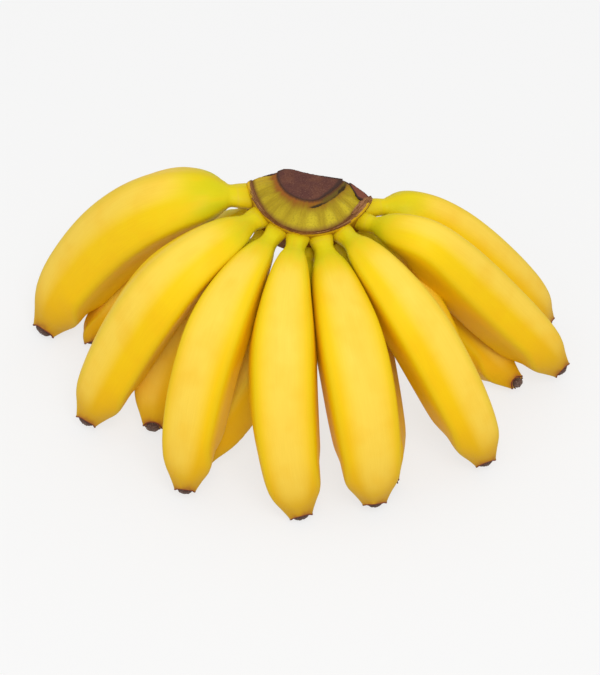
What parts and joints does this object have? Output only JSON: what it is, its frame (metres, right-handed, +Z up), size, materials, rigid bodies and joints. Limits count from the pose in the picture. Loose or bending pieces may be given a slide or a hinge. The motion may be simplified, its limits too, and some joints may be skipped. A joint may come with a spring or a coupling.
{
  "type": "hand of baby bananas",
  "caption": "Natural hand of small ripe yellow bananas in two fanned rows joined at one half-round cut crown, standing on the fruits' tips.",
  "frame": {"origin": "centre of the footprint, on the surface that the hand stands on", "axes": "+Z up; +X along the hand's width, from the leftmost fruit to the rightmost; the fruits fan out towards -Y and the crown's flat cut back faces +Y"},
  "size_m": [0.2354, 0.1403, 0.0944],
  "materials": {
    "peel": "satin, waxy",
    "crown_skin": "satin, ribbed",
    "crown_cut": "dry, matt, cut across the fibres",
    "bract_scar": "dry, matt, fibrous",
    "blossom_end": "dry, matt, shrivelled"
  },
  "bodies": {
    "root": {"crown": "crown_skin", "front_banana_1": "peel", "front_banana_2": "peel", "front_banana_3": "peel", "front_banana_4": "peel", "front_banana_5": "peel", "front_banana_6": "peel", "front_banana_7": "peel", "front_banana_8": "peel", "back_banana_1": "peel", "back_banana_2": "peel", "back_banana_3": "peel", "back_banana_4": "peel", "back_banana_5": "peel", "back_banana_6": "peel"}
  },
  "joints": []
}
